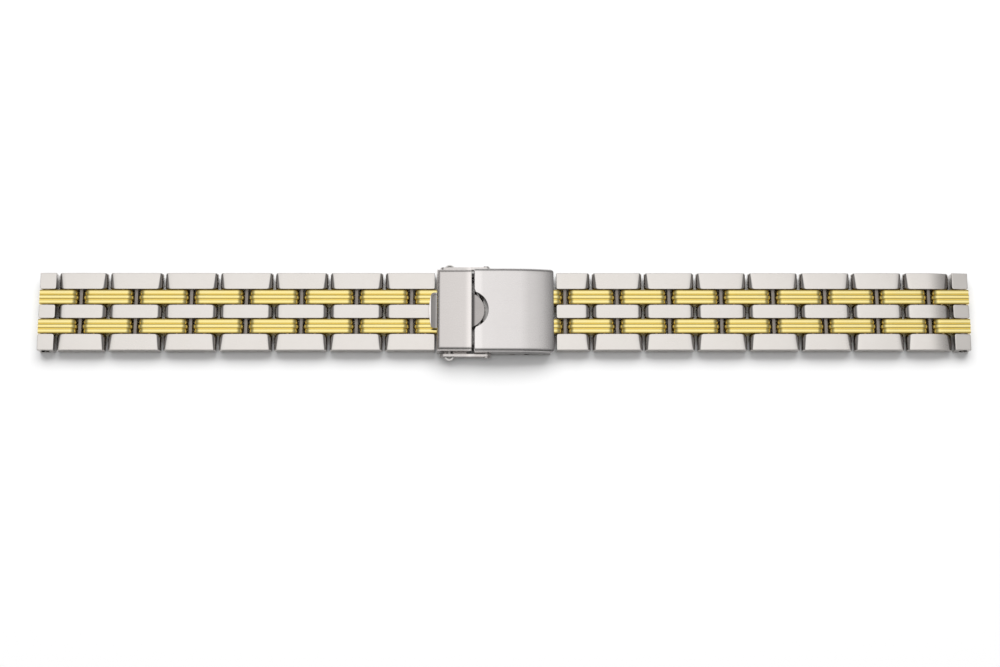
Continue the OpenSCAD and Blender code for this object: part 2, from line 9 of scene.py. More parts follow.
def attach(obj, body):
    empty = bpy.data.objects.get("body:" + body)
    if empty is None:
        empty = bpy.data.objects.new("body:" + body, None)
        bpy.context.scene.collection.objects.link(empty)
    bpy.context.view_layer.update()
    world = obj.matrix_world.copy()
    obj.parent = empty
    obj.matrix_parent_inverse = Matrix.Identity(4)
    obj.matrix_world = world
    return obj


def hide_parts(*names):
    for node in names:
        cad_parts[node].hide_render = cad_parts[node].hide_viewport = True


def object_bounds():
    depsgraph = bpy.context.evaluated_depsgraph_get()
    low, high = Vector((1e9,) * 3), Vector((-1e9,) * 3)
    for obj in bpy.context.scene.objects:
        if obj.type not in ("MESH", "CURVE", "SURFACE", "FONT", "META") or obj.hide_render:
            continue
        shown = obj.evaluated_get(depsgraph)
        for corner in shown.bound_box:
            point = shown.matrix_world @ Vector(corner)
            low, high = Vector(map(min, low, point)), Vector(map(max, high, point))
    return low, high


# Two-tone watch bracelet, lying closed on a pale table.
# Meshes are drawn in millimetres, with x from the cover's left edge, and moved to the frame's metres at the end.

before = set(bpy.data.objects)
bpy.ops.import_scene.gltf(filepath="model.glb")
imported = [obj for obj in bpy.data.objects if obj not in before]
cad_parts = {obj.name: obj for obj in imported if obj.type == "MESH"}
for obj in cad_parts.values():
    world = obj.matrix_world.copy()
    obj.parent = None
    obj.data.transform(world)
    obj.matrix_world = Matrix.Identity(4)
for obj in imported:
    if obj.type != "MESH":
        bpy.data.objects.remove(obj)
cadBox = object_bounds()

bench = {
    "originX": 5.31,         # the frame's middle, seen from the cover's left edge
    "thick": 2.4,            # of a link
    "halfWidth": 7.0,
    "outerRow": 4.05,        # where an outer steel row begins
    "centreRow": 1.25,       # half of the centre steel row
    "goldStart": 1.37,       # where a gold bar begins
    "goldWidth": 2.56,
    "rowLap": 0.02,          # webs and tubes reach this far into the outer rows
    "smoothAngle": 34,       # edges of steel bars sharper than this stay crisp
    "sheetAngle": 40,        # the same for sheets and gold
}
axisZ = bench["thick"] / 2


def toFrame(p):
    return ((p[0] - bench["originX"]) / 1000, p[1] / 1000, p[2] / 1000)


def sharpen(mesh, degrees):
    mesh.shade_smooth()
    mesh.set_sharp_from_angle(angle=math.radians(degrees))


def meshFrom(name, shells):
    # each shell is (points, faces); they lie in one mesh without sharing points
    points, faces = [], []
    for shellPoints, shellFaces in shells:
        base = len(points)
        points += [toFrame(p) for p in shellPoints]
        faces += [[base + i for i in f] for f in shellFaces]
    mesh = bpy.data.meshes.new(name)
    mesh.from_pydata(points, [], faces)
    tidy = bmesh.new()
    tidy.from_mesh(mesh)
    bmesh.ops.recalc_face_normals(tidy, faces=tidy.faces)
    tidy.to_mesh(mesh)
    tidy.free()
    mesh.update()
    return mesh


def piece(name, mesh, finish, body, slotName, *nodes):
    # finish is None where the mesh already has its materials
    thing = bpy.data.objects.new(name, mesh)
    bpy.context.scene.collection.objects.link(thing)
    if finish:
        mesh.materials.clear()
        mesh.materials.append(finish)
    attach(thing, body)
    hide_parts(*nodes)
    return thing


# Finishes.

def nodeGraph(name):
    made = bpy.data.materials.new(name)
    made.use_nodes = True
    nodes = made.node_tree.nodes
    return made, nodes, made.node_tree.links, nodes["Principled BSDF"]


def stretchedNoise(nodes, links, stretch, scale, detail, turn=0.0):
    # noise in the piece's own metres, drawn out by stretch on each axis
    where = nodes.new("ShaderNodeTexCoord")
    place = nodes.new("ShaderNodeMapping")
    place.inputs["Scale"].default_value = stretch
    place.inputs["Rotation"].default_value = (0, 0, math.radians(turn))
    grain = nodes.new("ShaderNodeTexNoise")
    grain.inputs["Scale"].default_value = scale
    grain.inputs["Detail"].default_value = detail
    links.new(where.outputs["Object"], place.inputs["Vector"])
    links.new(place.outputs["Vector"], grain.inputs["Vector"])
    return grain.outputs["Fac"]


def ramp(nodes, links, source, stops):
    # stops are (place, grey) or (place, colour)
    band = nodes.new("ShaderNodeValToRGB")
    while len(band.color_ramp.elements) < len(stops):
        band.color_ramp.elements.new(0.5)
    for mark, (at, tone) in zip(band.color_ramp.elements, stops):
        mark.position = at
        mark.color = (*tone, 1) if hasattr(tone, "__len__") else (tone, tone, tone, 1)
    links.new(source, band.inputs["Fac"])
    return band.outputs["Color"]


def between(nodes, links, source, low, high, fromLow=0.0, fromHigh=1.0):
    spread = nodes.new("ShaderNodeMapRange")
    spread.inputs["From Min"].default_value = fromLow
    spread.inputs["From Max"].default_value = fromHigh
    spread.inputs["To Min"].default_value = low
    spread.inputs["To Max"].default_value = high
    links.new(source, spread.inputs["Value"])
    return spread.outputs["Result"]


def bumpOf(nodes, links, height, strength, deep, after=None):
    bump = nodes.new("ShaderNodeBump")
    bump.inputs["Strength"].default_value = strength
    bump.inputs["Distance"].default_value = deep
    links.new(height, bump.inputs["Height"])
    if after is not None:
        links.new(after, bump.inputs["Normal"])
    return bump.outputs["Normal"]


def multiplied(nodes, links, colour, factor):
    times = nodes.new("ShaderNodeMix")
    times.data_type, times.blend_type = "RGBA", "MULTIPLY"
    times.inputs["Factor"].default_value = 1.0
    links.new(colour, times.inputs["A"])
    links.new(factor, times.inputs["B"])
    return times.outputs["Result"]


def coordinate(nodes, links, kind, axis):
    where = nodes.new("ShaderNodeTexCoord")
    split = nodes.new("ShaderNodeSeparateXYZ")
    links.new(where.outputs[kind], split.inputs["Vector"])
    return split.outputs[axis]


def paintedLightAlong(nodes, links, colour, marks):
    # painted highlight and painted shade along x: marks are (x in mm from the cover's left edge, how much of the
    # colour is left there)
    first, last = marks[0][0], marks[-1][0]
    x = coordinate(nodes, links, "Object", "X")
    along = between(nodes, links, x, 0, 1, toFrame((first, 0, 0))[0], toFrame((last, 0, 0))[0])
    stops = [((x - first) / (last - first), share) for x, share in marks]
    return multiplied(nodes, links, colour, ramp(nodes, links, along, stops))


def sidePaintedShade(nodes, links, colour, share):
    # painted shade: faces that look across the bracelet are darkened
    size = nodes.new("ShaderNodeMath")
    size.operation = "ABSOLUTE"
    links.new(coordinate(nodes, links, "Normal", "Y"), size.inputs[0])
    return multiplied(nodes, links, colour, between(nodes, links, size.outputs["Value"], 1.0, share, 0.3, 0.7))


steelLook = {
    "tone": (0.78, 0.74, 0.70),
    "paleTone": (0.82, 0.782, 0.744),
    "cloudScale": 260,
    "roughLow": 0.24,
    "roughHigh": 0.36,
    "grainAlong": (0.05, 1.0, 1.0),      # brush lines run along the bracelet
    "grainScale": 16000,
    "grainShare": 0.6,                   # of the roughness; the clouds have the rest
    "grainForce": 0.35,
    "grainDepth": 0.000012,
    "turn": 0,                           # of the brush lines, in degrees
    "scratches": 0.0,                    # how strongly hair scratches show
    "paintedLight": None,                        # marks of painted highlight and painted shade along the piece
    "side": 0.75,                        # painted shade: the share of the colour left on faces that look across the bracelet
}
scratchLook = {
    "angles": (62, -38, 12),
    "stretch": (0.03, 1.4, 1),
    "scale": 2600,
    "scaleStep": 500,
    "band": [(0.655, 0.0), (0.672, 1.0), (0.69, 0.0)],
    "depth": 0.000012,
}


def brushedSteel(name, look):
    made, nodes, links, shader = nodeGraph(name)
    shader.inputs["Metallic"].default_value = 1.0
    grain = stretchedNoise(nodes, links, look["grainAlong"], look["grainScale"], 3.0, look["turn"])
    cloud = stretchedNoise(nodes, links, (1, 1, 1), look["cloudScale"], 2.0)
    colour = ramp(nodes, links, cloud, [(0.3, look["tone"]), (0.7, look["paleTone"])])
    if look["paintedLight"]:
        colour = paintedLightAlong(nodes, links, colour, look["paintedLight"])
    links.new(sidePaintedShade(nodes, links, colour, look["side"]), shader.inputs["Base Color"])
    blend = nodes.new("ShaderNodeMath")
    blend.operation = "MULTIPLY_ADD"
    blend.inputs[1].default_value = look["grainShare"]
    links.new(grain, blend.inputs[0])
    links.new(between(nodes, links, cloud, 0.0, 1 - look["grainShare"]), blend.inputs[2])
    rough = between(nodes, links, blend.outputs["Value"], look["roughLow"], look["roughHigh"], 0.25, 0.75)
    links.new(rough, shader.inputs["Roughness"])
    normal = bumpOf(nodes, links, grain, look["grainForce"], look["grainDepth"])
    if look["scratches"]:
        s = scratchLook
        for k, angle in enumerate(s["angles"]):
            hair = stretchedNoise(nodes, links, s["stretch"], s["scale"] + s["scaleStep"] * k, 1.0, angle)
            line = ramp(nodes, links, hair, s["band"])
            normal = bumpOf(nodes, links, line, look["scratches"], s["depth"], normal)
    links.new(normal, shader.inputs["Normal"])
    return made


# the webs are rougher steel, and darker as painted shade between the gold bars
shadedWebLook = dict(steelLook, tone=(0.39, 0.35, 0.32), paleTone=(0.47, 0.43, 0.40), roughLow=0.5, roughHigh=0.65)
endLook = dict(steelLook, roughLow=0.26, roughHigh=0.38)
# the polished ends are darker as painted shade in the gaps between links
shadedRolledLook = dict(steelLook, tone=(0.47, 0.445, 0.424), paleTone=(0.53, 0.505, 0.484), roughLow=0.12, roughHigh=0.2)
# the blades are darker as painted shade, so that the seam over them reads dark
shadedBladeLook = dict(
    steelLook, tone=(0.48, 0.465, 0.45), paleTone=(0.55, 0.535, 0.52),
    roughLow=0.28, roughHigh=0.42, scratches=0.3,
)
# the lock base is darker all over as painted shade under the plates
shadedBaseLook = dict(
    steelLook, tone=(0.436, 0.409, 0.397), paleTone=(0.477, 0.45, 0.438), roughLow=0.22, roughHigh=0.34,
    paintedLight=[(-6.3, 1.0), (-1.2, 1.0), (-0.9, 0.22), (-0.3, 0.22), (0.0, 1.0), (3.2, 1.0)],      # painted shade in the seam
)
plateLook = dict(steelLook, roughLow=0.22, roughHigh=0.3, grainDepth=0.000006, grainForce=0.12, turn=90)
coverLook = dict(
    # painted highlight on the rolled edge at the seam, painted shade deepening towards the right end, and stronger
    # painted shade on the side walls
    plateLook, tone=(0.765, 0.734, 0.723), paleTone=(0.79, 0.759, 0.748), scratches=0.16, side=0.6,
    paintedLight=[(0.0, 1.1), (0.9, 1.08), (1.4, 0.97), (8.0, 0.93), (9.5, 0.82), (12.0, 0.82), (13.0, 0.74), (13.9, 0.58)],
)
lockLook = dict(
    plateLook, tone=(0.667, 0.631, 0.612), paleTone=(0.687, 0.651, 0.632), scratches=0.14, side=0.8,
    paintedLight=[
        (-8.2, 1.45), (-7.95, 1.4), (-7.86, 0.33), (-7.1, 0.4), (-6.84, 0.9), (-6.6, 0.95),   # lift tab: painted highlight on its lip, painted shade over its face
        (-2.0, 0.99), (-1.7, 1.04), (-1.35, 1.18), (-1.0, 1.28), (-0.7, 1.12),                # painted highlight along the edge at the seam
    ],
)
linkSteel = brushedSteel("LinkSteel", steelLook)
shadedWebSteel = brushedSteel("RoughShadedWebSteel", shadedWebLook)
endSteel = brushedSteel("EndBlockSteel", endLook)
shadedRolledSteel = brushedSteel("ShadedRolledEndSteel", shadedRolledLook)
coverSteel = brushedSteel("CoverSteel", coverLook)
lockSteel = brushedSteel("LockPlateSteel", lockLook)
shadedBaseSteel = brushedSteel("ShadedLockBaseSteel", shadedBaseLook)
shadedBladeSteel = brushedSteel("ShadedBladeSteel", shadedBladeLook)

pinLook = {
    "tone": (0.60, 0.58, 0.56),
    "paleTone": (0.66, 0.64, 0.62),
    "roughLow": 0.14,
    "roughHigh": 0.26,
    "turned": (1.0, 12.0, 1.0),          # turning marks run round the pin
    "turnedScale": 2500,
}


def turnedSteel(name, look):
    made, nodes, links, shader = nodeGraph(name)
    shader.inputs["Metallic"].default_value = 1.0
    rings = stretchedNoise(nodes, links, look["turned"], look["turnedScale"], 2.0)
    tone = ramp(nodes, links, rings, [(0.3, look["tone"]), (0.7, look["paleTone"])])
    links.new(tone, shader.inputs["Base Color"])
    rough = between(nodes, links, rings, look["roughLow"], look["roughHigh"], 0.3, 0.7)
    links.new(rough, shader.inputs["Roughness"])
    links.new(bumpOf(nodes, links, rings, 0.3, 0.000008), shader.inputs["Normal"])
    return made


pinSteel = turnedSteel("PinSteel", pinLook)

goldLook = {
    "tone": (0.99, 0.83, 0.345),
    "paleTone": (1.0, 0.88, 0.42),
    # painted shade in the grooves between the ribs
    "grooveShadeTone": (0.9, 0.60, 0.07),
    "roughLow": 0.15,
    "roughHigh": 0.26,
    "cloudScale": 900,
    "grainScale": 14000,
}


def platedGold(name, look):
    made, nodes, links, shader = nodeGraph(name)
    shader.inputs["Metallic"].default_value = 1.0
    cloud = stretchedNoise(nodes, links, (0.4, 1, 1), look["cloudScale"], 3.0)
    grain = stretchedNoise(nodes, links, (0.06, 1, 1), look["grainScale"], 3.0)
    colour = ramp(nodes, links, cloud, [(0.3, look["tone"]), (0.7, look["paleTone"])])
    depth = nodes.new("ShaderNodeAttribute")      # how far a point lies below the ribs' crowns, which sets the painted shade in the grooves
    depth.attribute_name = "groove"
    mix = nodes.new("ShaderNodeMix")
    mix.data_type = "RGBA"
    links.new(depth.outputs["Fac"], mix.inputs["Factor"])
    links.new(colour, mix.inputs["A"])
    mix.inputs["B"].default_value = (*look["grooveShadeTone"], 1)
    links.new(mix.outputs["Result"], shader.inputs["Base Color"])
    rough = between(nodes, links, cloud, look["roughLow"], look["roughHigh"], 0.3, 0.7)
    links.new(rough, shader.inputs["Roughness"])
    links.new(bumpOf(nodes, links, grain, 0.25, 0.000008), shader.inputs["Normal"])
    return made


goldPlate = platedGold("GoldPlate", goldLook)
print("finishes made")


# Bars are a stack of side outlines laid along y and closed by two side faces.

def arc(cx, cz, r, start, stop, steps):
    turns = [math.radians(start + (stop - start) * k / steps) for k in range(steps + 1)]
    return [(cx + r * math.cos(a), cz + r * math.sin(a)) for a in turns]


def ellipse(cx, cz, rx, rz, start, stop, steps):
    return [(cx + x * rx, cz + z * rz) for x, z in arc(0, 0, 1, start, stop, steps)]


def circle(cx, cz, r, steps):
    return arc(cx, cz, r, 0, 360 * (steps - 1) / steps, steps - 1)


def ringFaces(faces, rings, count):
    # walls between rings of count points each
    for k in range(rings - 1):
        for i in range(count):
            j = (i + 1) % count
            faces.append([k * count + i, k * count + j, (k + 1) * count + j, (k + 1) * count + i])


def stackSolid(stations, holes=(), holeSteps=20):
    # stations are (y, outline) from low to high y, with as many points each; holes are (x, z, r), bored right through
    points, faces = [], []
    count = len(stations[0][1])
    for y, outline in stations:
        points += [(x, y, z) for x, z in outline]
    ringFaces(faces, len(stations), count)
    boreStarts = []
    for end in (0, len(stations) - 1):
        y, outline = stations[end]
        index = [end * count + i for i in range(count)]
        loops = [[Vector((x, z, 0)) for x, z in outline]]
        starts = []
        for hx, hz, hr in holes:
            rim = circle(hx, hz, hr, holeSteps)
            starts.append(len(points))
            index += range(len(points), len(points) + holeSteps)
            points += [(x, y, z) for x, z in rim]
            loops.append([Vector((x, z, 0)) for x, z in rim])
        boreStarts.append(starts)
        if holes:
            faces += [[index[i] for i in f] for f in tessellate_polygon(loops)]
        else:
            faces.append(index)
    for a, b in zip(*boreStarts):
        for i in range(holeSteps):
            j = (i + 1) % holeSteps
            faces.append([a + i, a + j, b + j, b + i])
    return points, faces


def rod(x, z, r, y0, y1, steps=28):
    outline = circle(x, z, r, steps)
    return stackSolid([(y0, outline), (y1, outline)])


steelBarSizes = {
    "cornerRound": 0.4,      # plan rounding beside the gold
    "edgeRound": 0.10,       # softened long edges
    "endRound": 0.07,        # edges of an end that isn't rolled
    "crown": 0.08,           # the top falls this much from its middle to its ends
    "rollInner": 1.0,        # how far an end rolls over, beside the gold
    "rollOuter": 0.55,       # and at the bracelet's edge
    "rollCentre": 0.9,
    "rollSteps": 7,
    "topSteps": 12,
    "edgeSteps": 5,
    "cornerSteps": 9,
    "polishAndShadeFrom": 0.3,       # faces leaning further than this towards an end are polished and get the painted shade of the ends
}


def barOutline(x0, x1, rollLeft, rollRight, inset, crown, tilt, lean, reach):
    s = steelBarSizes
    low, high, mid = inset, bench["thick"] - inset, axisZ
    r, e, n = axisZ - inset, s["endRound"], s["rollSteps"]
    a, b = x0 + inset, x1 - inset
    if rollRight:
        outline = arc(b - r, mid, r, -90, 0, n) + ellipse(b - reach, mid, reach, r, 0, 90, n)[1:]
        right, lowRight = b - reach, b - r
    else:
        outline = arc(b - e, low + e, e, -90, 0, n - 1) + arc(b - e, high - e, e, 0, 90, n)
        right = lowRight = b - e
    left = a + (reach if rollLeft else e)
    outline += [(right + (left - right) * k / s["topSteps"], high) for k in range(1, s["topSteps"])]
    if rollLeft:
        outline += ellipse(a + reach, mid, reach, r, 90, 180, n) + arc(a + r, mid, r, 180, 270, n)[1:]
        lowLeft = a + r
    else:
        outline += arc(a + e, high - e, e, 90, 180, n - 1) + arc(a + e, low + e, e, 180, 270, n)
        lowLeft = a + e
    outline += [(lowLeft + (lowRight - lowLeft) * k / 4, low) for k in range(1, 4)]
    # the top half bows down to both ends, and may fall further to the right
    centre, span = (x0 + x1) / 2, (x1 - x0) / 2
    shaped = []
    for x, z in outline:
        if z > mid:
            share = (z - mid) / (high - mid)
            u = (x - centre) / span
            z -= share * (crown * u * u + tilt * max(0.0, u) ** 2 + lean * (u + 1) / 2)
        shaped.append((x, z))
    return shaped


def sunk(size, d):
    # how far a rounded edge of this size stands back at depth d
    return size - math.sqrt(max(0.0, size * size - (size - d) ** 2)) if d < size else 0.0


def steelBar(x0, x1, y0, y1, round0, round1, holes, reach0, reach1, **shape):
    # round0 and round1 round the corners in plan at y0 and y1, and reach0 and reach1 are how far the ends roll there
    s = steelBarSizes
    marks = set()
    for start, sign, big in ((y0, 1, round0), (y1, -1, round1)):
        for size, steps in ((s["edgeRound"], s["edgeSteps"]), (big, s["cornerSteps"])):
            for k in range(steps + 1):
                marks.add(round(start + sign * size * (1 - math.cos(math.radians(90 * k / steps))), 5))
    stations = []
    for y in sorted(marks):
        inset = max(sunk(s["edgeRound"], abs(y - start)) for start in (y0, y1))
        back = max(sunk(round0, abs(y - y0)), sunk(round1, abs(y - y1)))
        back = max(0.0, back - inset)
        reach = reach0 + (reach1 - reach0) * (y - y0) / (y1 - y0)
        stations.append((y, barOutline(x0 + back, x1 - back, inset=inset, reach=reach, **shape)))
    return stackSolid(stations, holes)


def steelRows(x0, x1, holes, rollLeft, rollRight, centreRoll, crown=steelBarSizes["crown"], tilt=0.0, lean=0.0):
    s = steelBarSizes
    c, o, h = bench["centreRow"], bench["outerRow"], bench["halfWidth"]
    big, small = s["cornerRound"], s["edgeRound"]
    near, far, own = s["rollInner"], s["rollOuter"], s["rollCentre"]
    outer = dict(rollLeft=rollLeft, rollRight=rollRight, crown=crown, tilt=tilt, lean=lean)
    centre = dict(outer, rollRight=centreRoll)
    return [
        steelBar(x0, x1, -c, c, big, big, holes, own, own, **centre),
        steelBar(x0, x1, o, h, big, small, holes, near, far, **outer),
        steelBar(x0, x1, -h, -o, small, big, holes, far, near, **outer),
    ]


def dressLink(mesh, barFaces, topFinish):
    # brushed on top, polished round the ends and darkened there as painted shade; what comes after the bars is rough
    # and darkened as painted shade
    for finish in (topFinish, shadedRolledSteel, shadedWebSteel):
        mesh.materials.append(finish)
    for face in mesh.polygons:
        if face.index >= barFaces:
            face.material_index = 2
        elif abs(face.normal.x) > steelBarSizes["polishAndShadeFrom"]:
            face.material_index = 1


webSizes = {"thick": 0.6, "low": 0.3, "high": 1.7, "edge": 0.08}


def web(x):
    s = webSizes
    half, e, y = s["thick"] / 2, s["edge"], bench["outerRow"] + bench["rowLap"]
    left, right, low, high = x - half + e, x + half - e, s["low"] + e, s["high"] - e
    outline = []
    for cx, cz, start in ((right, low, -90), (right, high, 0), (left, high, 90), (left, low, 180)):
        outline += arc(cx, cz, e, start, start + 90, 3)
    return stackSolid([(-y, outline), (y, outline)])


goldBarSizes = {
    "ribs": 3,
    "crownRound": 0.92,      # radius across a rib
    "rise": 0.05,            # the middle rib stands higher
    "lead": 0.15,            # and reaches further
    "grooveFill": 0.012,     # between two ribs
    "fade": 50,              # degrees below the middle at which the ribs have run out
    "acrossSteps": 8,
    "rollSteps": 16,
    "alongSteps": 6,
}


def goldEnd(x, rib, r, lead, depth, sign):
    # outline and groove depth round a rolled end, from its foot to its top; sign is 1 at the right end
    s = goldBarSizes
    n = s["rollSteps"]
    centre, foot = x + sign * (lead - rib), x - sign * axisZ
    outline, deep = [], []
    for j in range(-n, n + 1):
        turn = math.radians(90 * j / n)
        share = min(1.0, max(0.0, -math.degrees(turn) / s["fade"]))
        swing = r + (axisZ - r) * share
        middle = centre + (foot - centre) * share
        outline.append((middle + sign * swing * math.cos(turn), axisZ + swing * math.sin(turn)))
        deep.append(depth * (1 - share))
    return outline, deep


def goldCut(x, r, depth):
    # the same at an end cut straight
    n = goldBarSizes["rollSteps"]
    outline = [(x, (axisZ + r) * j / (2 * n)) for j in range(2 * n + 1)]
    return outline, [depth if z > axisZ else 0.0 for _, z in outline]


def goldBar(x0, x1, y0, holes, rollLeft=True, rollRight=True):
    # returns the shell and how deep each of its points lies in a groove
    s = goldBarSizes
    width, ribRound = bench["goldWidth"] / s["ribs"], s["crownRound"]
    edge = math.asin(width / 2 / ribRound)
    fullSag = ribRound * (1 - math.cos(edge))
    stations, depths = [], []
    for k in range(s["ribs"]):
        middle = k == s["ribs"] // 2
        rib = axisZ + (s["rise"] if middle else 0)
        for i in range(s["acrossSteps"] + 1):
            if k and not i:
                continue                 # the rib before has drawn this one
            a = -edge + 2 * edge * i / s["acrossSteps"]
            y = y0 + (k + 0.5) * width + ribRound * math.sin(a)
            sag = ribRound * (1 - math.cos(a))
            r, lead = rib - sag, s["lead"] if middle else 0
            if i == s["acrossSteps"] and k < s["ribs"] - 1:
                r, lead = axisZ - fullSag + s["rise"] / 2 + s["grooveFill"], s["lead"] / 2
            elif i == s["acrossSteps"]:
                r, lead = axisZ - fullSag, 0.0
            depth = min(1.0, max(0.0, sag / fullSag))
            right, rightDeep = goldEnd(x1, rib, r, lead, depth, 1) if rollRight else goldCut(x1, r, depth)
            left, leftDeep = goldEnd(x0, rib, r, lead, depth, -1) if rollLeft else goldCut(x0, r, depth)
            topRight = x1 + lead - rib if rollRight else x1
            topLeft = x0 - lead + rib if rollLeft else x0
            steps = s["alongSteps"]
            top = [(topRight + (topLeft - topRight) * j / steps, axisZ + r) for j in range(1, steps)]
            footLeft, footRight = (x0 + axisZ if rollLeft else x0), (x1 - axisZ if rollRight else x1)
            foot = [(footLeft + (footRight - footLeft) * j / 4, 0.0) for j in (1, 2, 3)]
            stations.append((y, right + top + left[::-1] + foot))
            depths += rightDeep + [depth] * len(top) + leftDeep[::-1] + [0.0] * len(foot)
    points, faces = stackSolid(stations, holes)
    return (points, faces), depths + [0.0] * (len(points) - len(depths))


def goldPiece(name, bars, body, node):
    mesh = meshFrom(name, [shell for shell, _ in bars])
    depth = mesh.attributes.new("groove", "FLOAT", "POINT")
    depth.data.foreach_set("value", [d for _, deep in bars for d in deep])
    sharpen(mesh, bench["sheetAngle"])
    return piece(name, mesh, goldPlate, body, "gold_plate", node)


def goldRows(x0, x1, holes, rollLeft=True, rollRight=True):
    g, w = bench["goldStart"], bench["goldWidth"]
    return [goldBar(x0, x1, y, holes, rollLeft, rollRight) for y in (g, -g - w)]


# The chain of links on each side of the clasp.

chain = {
    "leftPitch": 9.8, "rightPitch": 9.3,
    "leftLinks": 7, "rightLinks": 8,
    "steelGap": 0.38, "goldGap": 1.04,
    "pinRadius": 0.45, "pinFit": 0.05,
    "lastLeft": -11.38,      # middle of the last left link
    "firstRight": 15.95,     # web of the first right link
    "stub": 1.55,            # from its left end to its web
    "lockClear": -7.23,      # where the last left link ends, short of the flip lock
    "catchX": -4.63, "catchBore": 0.6,
    "lastTilt": 0.62,        # how far the last right link's top falls
}
leftX = [chain["lastLeft"] - (chain["leftLinks"] - 1 - k) * chain["leftPitch"] for k in range(chain["leftLinks"])]
rightX = [chain["firstRight"] + k * chain["rightPitch"] for k in range(chain["rightLinks"])]
leftArm, rightArm = chain["leftPitch"] / 4, chain["rightPitch"] / 4
leftHalf = (chain["leftPitch"] - chain["steelGap"]) / 2
rightHalf = (chain["rightPitch"] - chain["steelGap"]) / 2
goldHalfGap = chain["goldGap"] / 2
pinRadius, boreRadius = chain["pinRadius"], chain["pinRadius"] + chain["pinFit"]

endSizes = {
    "cut": 0.75,             # the last links are this much shorter
    "length": 2.9,           # of a block
    "tubeRadius": 0.95, "lugRadius": 0.8,
    "rightLean": 0.3,        # how far the right block's top falls
}
pinEndSizes = {"length": 0.18, "sunk": 0.02, "slack": 0.01, "steps": 20}


def boreList(places, r):
    return [(x, axisZ, r) for x in places]


def pinEnds(x):
    # two short discs that show a pin's ends almost flush with the link's sides
    s = pinEndSizes
    face = bench["halfWidth"] - s["sunk"]
    inside, r = face - s["length"], pinRadius - s["slack"]
    return [rod(x, axisZ, r, inside, face, s["steps"]), rod(x, axisZ, r, -face, -inside, s["steps"])]


def steelLink(side, number, x, x0, x1, pivots, rollLeft=True, rollRight=True, tilt=0.0):
    name = f"{side}_link_{number}"
    bars = steelRows(x0, x1, boreList(pivots, pinRadius), rollLeft, rollRight, True, tilt=tilt)
    for pivot in pivots:
        bars += pinEnds(pivot)
    mesh = meshFrom(f"{side}link{number}Mesh", bars + [web(x)])
    sharpen(mesh, bench["smoothAngle"])
    dressLink(mesh, sum(len(faces) for _, faces in bars), linkSteel)
    return piece(f"{side}Link{number}", mesh, None, name, "link_steel", name)


for k, x in enumerate(leftX):
    x0 = x - leftHalf + (endSizes["cut"] if k == 0 else 0)
    x1 = min(x + leftHalf, chain["lockClear"])
    last = k == chain["leftLinks"] - 1
    steelLink("left", k + 1, x, x0, x1, [x - leftArm, x + leftArm], rollRight=not last)
    bores = boreList([x + leftArm], boreRadius)
    if last:                             # this pair goes into the clasp, round the catch bar
        stop = chain["catchX"] + axisZ + 0.02
        bores += boreList([chain["catchX"]], chain["catchBore"])
    else:
        stop = x + chain["leftPitch"] - goldHalfGap
        bores += boreList([x + 3 * leftArm], boreRadius)
    name = f"left_gold_{k + 1}"
    goldPiece(f"leftGold{k + 1}", goldRows(x + goldHalfGap, stop, bores), name, name)

for k, x in enumerate(rightX):
    first, last = k == 0, k == chain["rightLinks"] - 1
    x0 = x - (chain["stub"] if first else rightHalf)
    x1 = x + rightHalf - (endSizes["cut"] if last else 0)
    pivots = [x + rightArm] if first else [x - rightArm, x + rightArm]
    tilt = chain["lastTilt"] if last else 0.0
    steelLink("right", k + 1, x, x0, x1, pivots, rollLeft=not first, tilt=tilt)
    if not last:
        name = f"right_gold_{k + 1}"
        bores = boreList([x + rightArm, x + 3 * rightArm], boreRadius)
        bars = goldRows(x + goldHalfGap, x + chain["rightPitch"] - goldHalfGap, bores)
        goldPiece(f"rightGold{k + 1}", bars, name, name)
print("links and gold bars made")


def tubeShell(x, z, outer, inner, y0, y1, steps=32):
    outline = circle(x, z, outer, steps)
    return stackSolid([(y0, outline), (y1, outline)], [(x, z, inner)], steps)


def endPiece(side, outerX, linkX, pitchArm, sign, lean):
    # sign is 1 at the left end, where the block runs towards greater x
    s = endSizes
    inner = outerX + sign * s["length"]
    lug = outerX + sign * axisZ
    x0, x1 = min(outerX, inner), max(outerX, inner)
    wall = bench["outerRow"] + bench["rowLap"]
    shells = steelRows(x0, x1, boreList([lug], s["lugRadius"]), False, False, False, crown=0.0, lean=lean)
    barFaces = sum(len(faces) for _, faces in shells)
    shells.append(tubeShell(lug, axisZ, s["tubeRadius"], s["lugRadius"], -wall, wall))
    mesh = meshFrom(side + "EndMesh", shells)
    sharpen(mesh, bench["smoothAngle"])
    dressLink(mesh, barFaces, endSteel)
    piece(side + "EndBlocks", mesh, None, side + "_end", "link_steel", side + "_end_blocks")
    near = linkX - sign * goldHalfGap
    bores = boreList([lug], s["tubeRadius"]) + boreList([linkX - sign * pitchArm], boreRadius)
    bars = goldRows(min(outerX, near), max(outerX, near), bores, sign < 0, sign > 0)
    goldPiece(side + "EndGold", bars, side + "_end", side + "_end_gold")


endReach = chain["steelGap"] + endSizes["length"] - endSizes["cut"]
endPiece("left", leftX[0] - leftHalf - endReach, leftX[0], leftArm, 1, 0.0)
endPiece("right", rightX[-1] + rightHalf + endReach, rightX[-1], rightArm, -1, endSizes["rightLean"])
print("end pieces made")


# The clasp's bent sheets.

